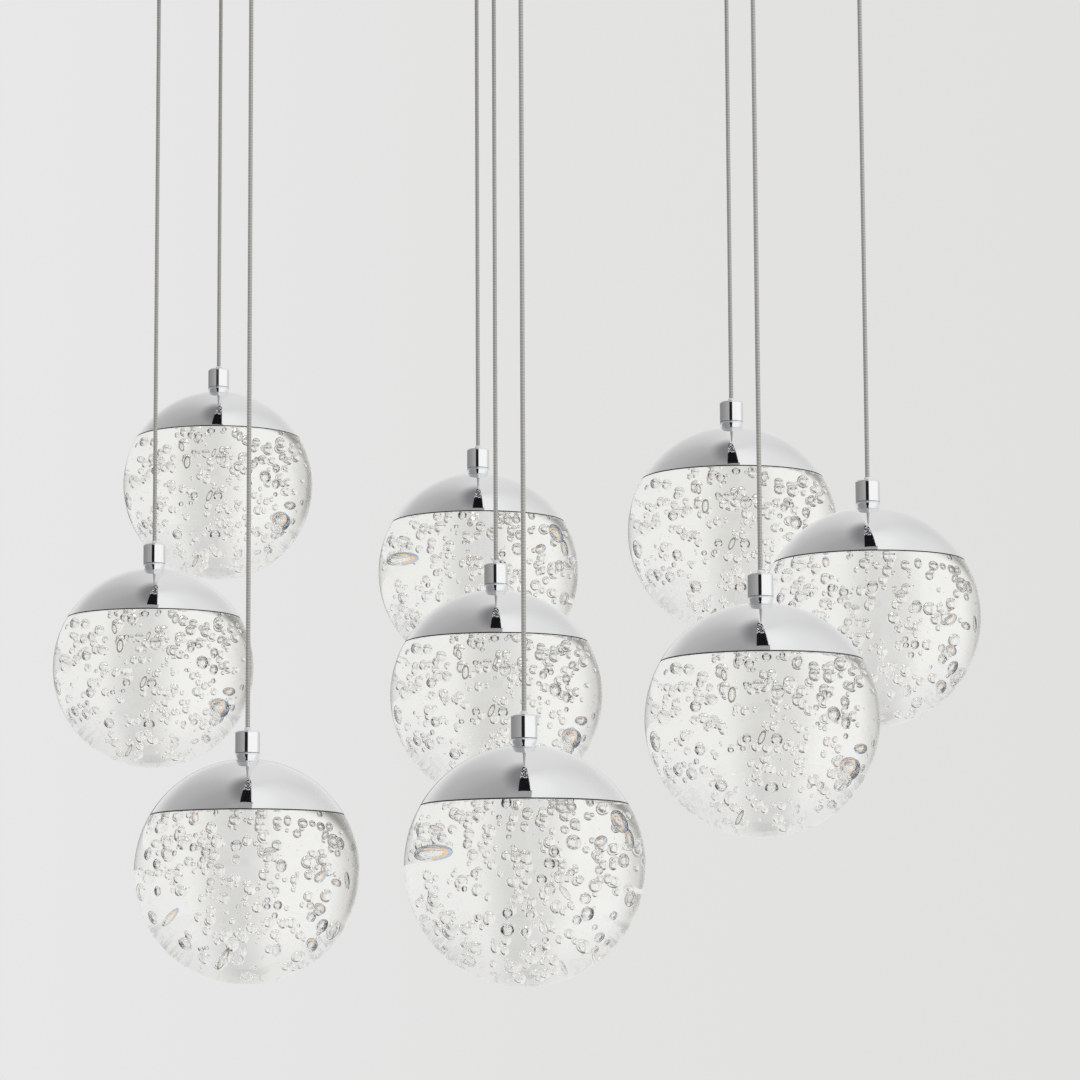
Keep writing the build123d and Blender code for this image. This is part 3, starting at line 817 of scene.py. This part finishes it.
def canopy_mesh():
    """Shallow dish, open towards the ceiling."""
    inner_radius = CANOPY_RADIUS - CANOPY_WALL
    corner = (CANOPY_RADIUS - CANOPY_CORNER, CANOPY_CORNER - CANOPY_HEIGHT)
    profile = [(0, -CANOPY_HEIGHT)]
    profile += arc(corner, CANOPY_CORNER, -90, 0, 16)
    profile += [(CANOPY_RADIUS, 0), (inner_radius, 0)]
    profile += arc(corner, CANOPY_CORNER - CANOPY_WALL, 0, -90, 12)
    profile += [(0, CANOPY_WALL - CANOPY_HEIGHT)]
    return finish_mesh("canopy_dish", *lathe(profile, 192), [CANOPY_CHROME], 30.0)


def gland_mesh():
    """Cable gland: flange, tapered body with a flared mouth, thread and hexagon nut."""
    tip = -CANOPY_HEIGHT - GLAND_LENGTH
    inside_floor = CANOPY_WALL - CANOPY_HEIGHT
    thread_top = inside_floor + NUT_HEIGHT + THREAD_BEYOND_NUT
    flange_radius, flange_height = GLAND_FLANGE
    flange_bottom = -CANOPY_HEIGHT - flange_height
    flare_radius, flare_length = GLAND_FLARE
    profile = [
        (CABLE_BORE, tip + flare_length),
        (flare_radius, tip),
        (GLAND_TIP_RADIUS - GLAND_TIP_CHAMFER, tip),
        (GLAND_TIP_RADIUS, tip + GLAND_TIP_CHAMFER),
        (GLAND_BODY_RADIUS, flange_bottom),
        (flange_radius - GLAND_CHAMFER, flange_bottom),
        (flange_radius, flange_bottom + GLAND_CHAMFER),
        (flange_radius, -CANOPY_HEIGHT),
        (GLAND_THREAD_RADIUS, -CANOPY_HEIGHT),
        (GLAND_THREAD_RADIUS, thread_top),
        (CABLE_BORE, thread_top),
        (CABLE_BORE, tip + flare_length),
    ]
    points, faces = lathe(profile, 64)
    corner = NUT_ACROSS_FLATS / 2 / math.cos(math.pi / 6)
    inward, down = NUT_CHAMFER
    nut_top = inside_floor + NUT_HEIGHT
    nut = [(GLAND_THREAD_RADIUS, inside_floor), (corner, inside_floor), (corner, nut_top - down)]
    nut += [(corner - inward, nut_top), (GLAND_THREAD_RADIUS, nut_top)]
    nut_points, nut_faces = lathe(nut, 6)
    faces += [[c + len(points) for c in face] for face in nut_faces]
    return finish_mesh("gland", points + nut_points, faces, [CHROME], 30.0)


# ---------------------------------------------------------------- build

HEAD = {
    "dome_cap": (cap_mesh(), "chrome", "cap"),
    "rim_seal": (seal_mesh(), "terminal_plastic", None),
    "collar": (collar_mesh(), "chrome", "holder_collar"),
    "barrel": (barrel_mesh(), "chrome", "holder_barrel"),
    "clear_sleeve": (sleeve_mesh(), "terminal_plastic", None),
    "light_face": (light_mesh(), "heat_sink", None),
}
SEEDS = {"a": 11, "b": 23, "c": 37}
GLOBES = {
    pattern: globe_mesh(f"globe_{pattern}", scattered(seed, marked(pattern)))
    for pattern, seed in SEEDS.items()
}
PATTERN_OF = {1: "a", 2: "a", 3: "b", 4: "c", 5: "a", 6: "c", 7: "a", 8: "a", 9: "b"}
CANOPY_FINISHES = {
    "canopy_screws": CHROME,
    "ceiling_plate": ZINC,
    "led_driver": PLASTIC,
    "terminal_block": TERMINAL,
}


def build_pendant(number):
    body = f"pendant_{number}"
    centre = globe_centre(number)
    for name, (mesh, slot, node) in HEAD.items():
        stands_for = [f"{node}_{number}"] if node else []
        new_piece(f"{name}_{number}", mesh, centre, body, slot, *stands_for)
    globe = GLOBES[PATTERN_OF[number]]
    new_piece(f"bubble_globe_{number}", globe, centre, body, "bubble_glass", f"glass_globe_{number}")


def build_canopy():
    """The canopy stays out of mirrors and lenses, so that the globes show only the studio."""
    pieces = [new_piece("canopy_dish", canopy_mesh(), (0, 0, 0), "canopy", "chrome", "canopy_shell")]
    gland = gland_mesh()
    for number in PENDANTS:
        centre = globe_centre(number)
        pieces.append(new_piece(f"gland_{number}", gland, (centre.x, centre.y, 0), "canopy", "chrome"))
    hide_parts("cable_glands")
    pieces += [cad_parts[name] for name in CANOPY_FINISHES]
    for piece in pieces:
        piece.visible_glossy = piece.visible_transmission = False


def finish_nodes():
    """Materials of the CAD nodes that are shown as they are."""
    heat_sinks = {f"led_module_{number}": ALUMINIUM for number in PENDANTS}
    for name, material in (CANOPY_FINISHES | heat_sinks).items():
        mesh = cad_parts[name].data
        mesh.materials.clear()
        mesh.materials.append(material)


for pendant in PENDANTS:
    cable_piece(pendant)
for pendant in PENDANTS:
    build_pendant(pendant)
build_canopy()
finish_nodes()


# ---------------------------------------------------------------- studio


def studio_world():
    world = bpy.data.worlds.new("studio")
    bpy.context.scene.world = world
    world.use_nodes = True
    world.node_tree.nodes.clear()
    nodes = Nodes(world.node_tree)
    x, y, z = nodes.parts(nodes.add("ShaderNodeTexCoord").outputs["Generated"])
    mirrored = overhead(nodes, studio_walls(nodes, x, y, z), x, y, z)
    refracted = seen_through_glass(nodes, x, y, z)

    sideways = nodes.math("DIVIDE", x, nodes.math("MAXIMUM", nodes.math("ABSOLUTE", y), 0.05))
    backdrop = nodes.ramp(
        nodes.math("MULTIPLY_ADD", sideways, 1 / 0.30, 0.5),
        (0.0, (0.807, 0.807, 0.807)), (0.5, (0.768, 0.768, 0.760)), (1.0, (0.753, 0.753, 0.737)),
    )
    rays = nodes.add("ShaderNodeLightPath").outputs
    colour = nodes.mix(rays["Is Glossy Ray"], (0.80, 0.80, 0.80, 1), mirrored)
    colour = nodes.mix(rays["Is Transmission Ray"], colour, refracted)
    colour = nodes.mix(rays["Is Camera Ray"], colour, backdrop.outputs[0])
    background = nodes.add("ShaderNodeBackground", {"Color": colour, "Strength": 1.0})
    output = nodes.add("ShaderNodeOutputWorld")
    nodes.set(output.inputs["Surface"], background)


BLACK = 0.012  # grey of the dark stripe behind the camera, which the holders mirror
WEDGE_START, WEDGE_END = -0.32, 0.27  # of the dark wedge overhead, backwards, per unit of height


def studio_walls(nodes, x, y, z):
    """Walls, ceiling and ground of the studio, by the angle to the right from behind the camera."""
    back = nodes.math("MULTIPLY", y, -1.0)
    turn = nodes.math("MULTIPLY_ADD", nodes.math("ARCTAN2", x, back), 1 / (2 * math.pi), 0.5)

    def around(*stops):
        return nodes.ramp(turn, *[((angle + 180) / 360, value) for angle, value in stops]).outputs[0]

    at_holders = around(
        (-180, 0.28), (-110, 0.27), (-75, 0.32), (-50, 0.37), (-24, 0.42), (-22, BLACK), (5, BLACK),
        (9, 1.0), (96, 1.0), (108, 0.90), (125, 0.68), (150, 0.63), (180, 0.63),
    )
    walls = around(
        (-180, 0.80), (-150, 0.80), (-134, 0.74), (-124, 0.54), (-108, 0.44), (-90, 0.34), (-60, 0.30),
        (-22, 0.36), (6, 0.70), (60, 0.84), (96, 0.84), (108, 0.80), (140, 0.74), (165, 0.80), (180, 0.80),
    )
    ceiling = around(
        (-180, 0.74), (-135, 0.50), (-90, 0.40), (-45, 0.36), (-10, 0.40), (10, 0.78), (60, 0.84),
        (110, 0.80), (145, 0.70), (180, 0.74),
    )
    ground = around(
        (-180, 0.78), (-150, 0.52), (-120, (0.27, 0.28, 0.31)), (-60, (0.27, 0.28, 0.31)), (-24, 0.36),
        (-22, BLACK), (5, BLACK), (9, 0.97), (80, 0.97), (115, (0.80, 0.81, 0.84)), (145, 0.66),
        (180, 0.78),
    )
    upper = nodes.mix(nodes.range(z, 0.20, 0.62), walls, ceiling)
    off_holders = nodes.math("MAXIMUM", nodes.over(z, 0.19), nodes.under(z, 0.05))
    room = nodes.mix(off_holders, at_holders, upper)
    return nodes.mix(nodes.range(z, -0.08, -0.30), room, ground)


def overhead(nodes, walls, x, y, z):
    """What the caps mirror from straight above: a dark wedge with a glittering end, and its shade."""
    above = nodes.over(z, 0.2)
    height = nodes.math("MAXIMUM", z, 0.05)
    across = nodes.math("DIVIDE", x, height)
    behind = nodes.math("DIVIDE", y, height)
    side = nodes.math("ABSOLUTE", across)
    flattened = nodes.add("ShaderNodeCombineXYZ", {"X": across, "Y": nodes.math("MULTIPLY", behind, 0.6)})
    from_wedge = nodes.add("ShaderNodeVectorMath", {0: flattened}, operation="LENGTH").outputs["Value"]
    shade = nodes.all_of(nodes.range(from_wedge, 0.30, 0.10), nodes.under(across, 0.0), above)
    shaded = nodes.mix(shade, walls, (0.22, 0.22, 0.225, 1))
    right = nodes.all_of(nodes.range(across, 0.60, 0.20), nodes.over(across, 0.0), above)
    glow = nodes.all_of(right, nodes.range(behind, 0.15, -0.20, 0.2, 0.8))
    lit = nodes.mix(glow, shaded, (0.93, 0.93, 0.93, 1))

    half_width = nodes.range(behind, WEDGE_END, WEDGE_START, 0.018, 0.085, "LINEAR")
    along = nodes.all_of(nodes.under(behind, WEDGE_END), nodes.over(behind, WEDGE_START))
    wedge = nodes.all_of(nodes.under(side, half_width), along, above)
    spot = nodes.add("ShaderNodeCombineXYZ", {"X": nodes.math("MULTIPLY", across, 1.6), "Y": behind})
    glitter = nodes.add("ShaderNodeTexNoise", {"Vector": spot, "Scale": 34.0, "Detail": 2.0}).outputs["Fac"]
    sparks = nodes.all_of(nodes.over(glitter, 0.54), nodes.over(behind, -0.02))
    dark = nodes.mix(sparks, (0.008, 0.008, 0.010, 1), (0.80, 0.80, 0.81, 1))

    apron = nodes.all_of(nodes.under(side, 0.105), nodes.under(behind, -0.30), above)
    aproned = nodes.mix(apron, lit, (0.36, 0.36, 0.37, 1))
    return nodes.mix(wedge, aproned, dark)


def seen_through_glass(nodes, x, y, z):
    """What the globes and bubbles bend into view: a bright room with a dark lower left.

    Its dark starts further off the view's middle on the left than below, where caps hide
    what the globes would show of it. It fades out to the sides, and there is none behind the
    camera. A slightly greyer strip goes up the back wall.
    """
    off_middle_squared = nodes.math("SUBTRACT", 1.0, nodes.math("POWER", y, 2))
    off_middle = nodes.math("SQRT", nodes.math("MAXIMUM", off_middle_squared, 1e-4))
    to_left = nodes.math("MULTIPLY", x, -1.0)
    leftward = nodes.math("DIVIDE", to_left, off_middle)
    downward = nodes.math("DIVIDE", nodes.math("MULTIPLY", z, -1.0), off_middle)
    dark_side = nodes.math("MULTIPLY_ADD", leftward, 0.77, nodes.math("MULTIPLY", downward, 0.64))
    starts = nodes.range(downward, 0.10, 0.70, 0.42, 0.80)
    spread = nodes.math("SUBTRACT", starts, y)
    ahead = nodes.range(y, -0.25, 0.20)
    dark = nodes.all_of(nodes.range(dark_side, 0.30, 0.62), nodes.range(spread, -0.06, 0.16), ahead)
    left = nodes.all_of(nodes.range(to_left, 0.60, 0.95, 0.0, 0.42), ahead)

    room = nodes.mix(left, (0.87, 0.868, 0.845, 1), (0.10, 0.09, 0.06, 1))
    room = nodes.mix(dark, room, (0.14, 0.13, 0.10, 1))
    room = nodes.mix(nodes.range(z, 0.35, 0.85, 0.0, 0.10), room, (0.0, 0.0, 0.0, 1))
    reach = nodes.math("MAXIMUM", nodes.math("MAXIMUM", y, z), 0.05)
    side = nodes.math("ABSOLUTE", nodes.math("DIVIDE", x, reach))
    strip = nodes.all_of(nodes.range(side, 0.32, 0.06), nodes.over(y, -0.3))
    return nodes.mix(nodes.math("MULTIPLY", strip, 0.20), room, (0.0, 0.0, 0.0, 1))


def floor():
    size = 4.0
    height = -2.0
    points = [(-size, -size, height), (size, -size, height), (size, size, height), (-size, size, height)]
    material, nodes, shader = new_material("floor_paint", Base_Color=(0.80, 0.80, 0.79, 1))
    nodes.set(shader.inputs["Roughness"], nodes.range(nodes.noise(6.0), 0.3, 0.7, 0.8, 0.95))
    obj = bpy.data.objects.new("floor", finish_mesh("floor", points, [(0, 1, 2, 3)], [material]))
    obj.visible_glossy = obj.visible_transmission = False
    bpy.context.scene.collection.objects.link(obj)


def camera():
    data = bpy.data.cameras.new("camera")
    data.lens = LENS
    data.sensor_width = SENSOR
    data.clip_end = 50.0
    obj = bpy.data.objects.new("camera", data)
    tilt = Matrix.Rotation(math.pi / 2 + CAMERA_PITCH, 4, "X")
    obj.matrix_world = Matrix.Translation(CAMERA_PLACE) @ tilt @ Matrix.Rotation(-CAMERA_ROLL, 4, "Z")
    bpy.context.scene.collection.objects.link(obj)
    bpy.context.scene.camera = obj


def lamp(name, place, aim, size, power):
    data = bpy.data.lights.new(name, "AREA")
    data.size = size
    data.energy = power
    obj = bpy.data.objects.new(name, data)
    obj.location = place
    obj.rotation_euler = (Vector(aim) - Vector(place)).to_track_quat("-Z", "Y").to_euler()
    obj.visible_glossy = False
    obj.visible_transmission = False
    bpy.context.scene.collection.objects.link(obj)


studio_world()
floor()
camera()
lamp("key", (1.4, -1.2, 0.6), (0, 0, -0.4), 1.2, 12.0)

scene = bpy.context.scene
scene.view_settings.view_transform = "Standard"
scene.cycles.max_bounces = 40
scene.cycles.transmission_bounces = 32
scene.cycles.transparent_max_bounces = 128
scene.cycles.glossy_bounces = 8
scene.cycles.diffuse_bounces = 3
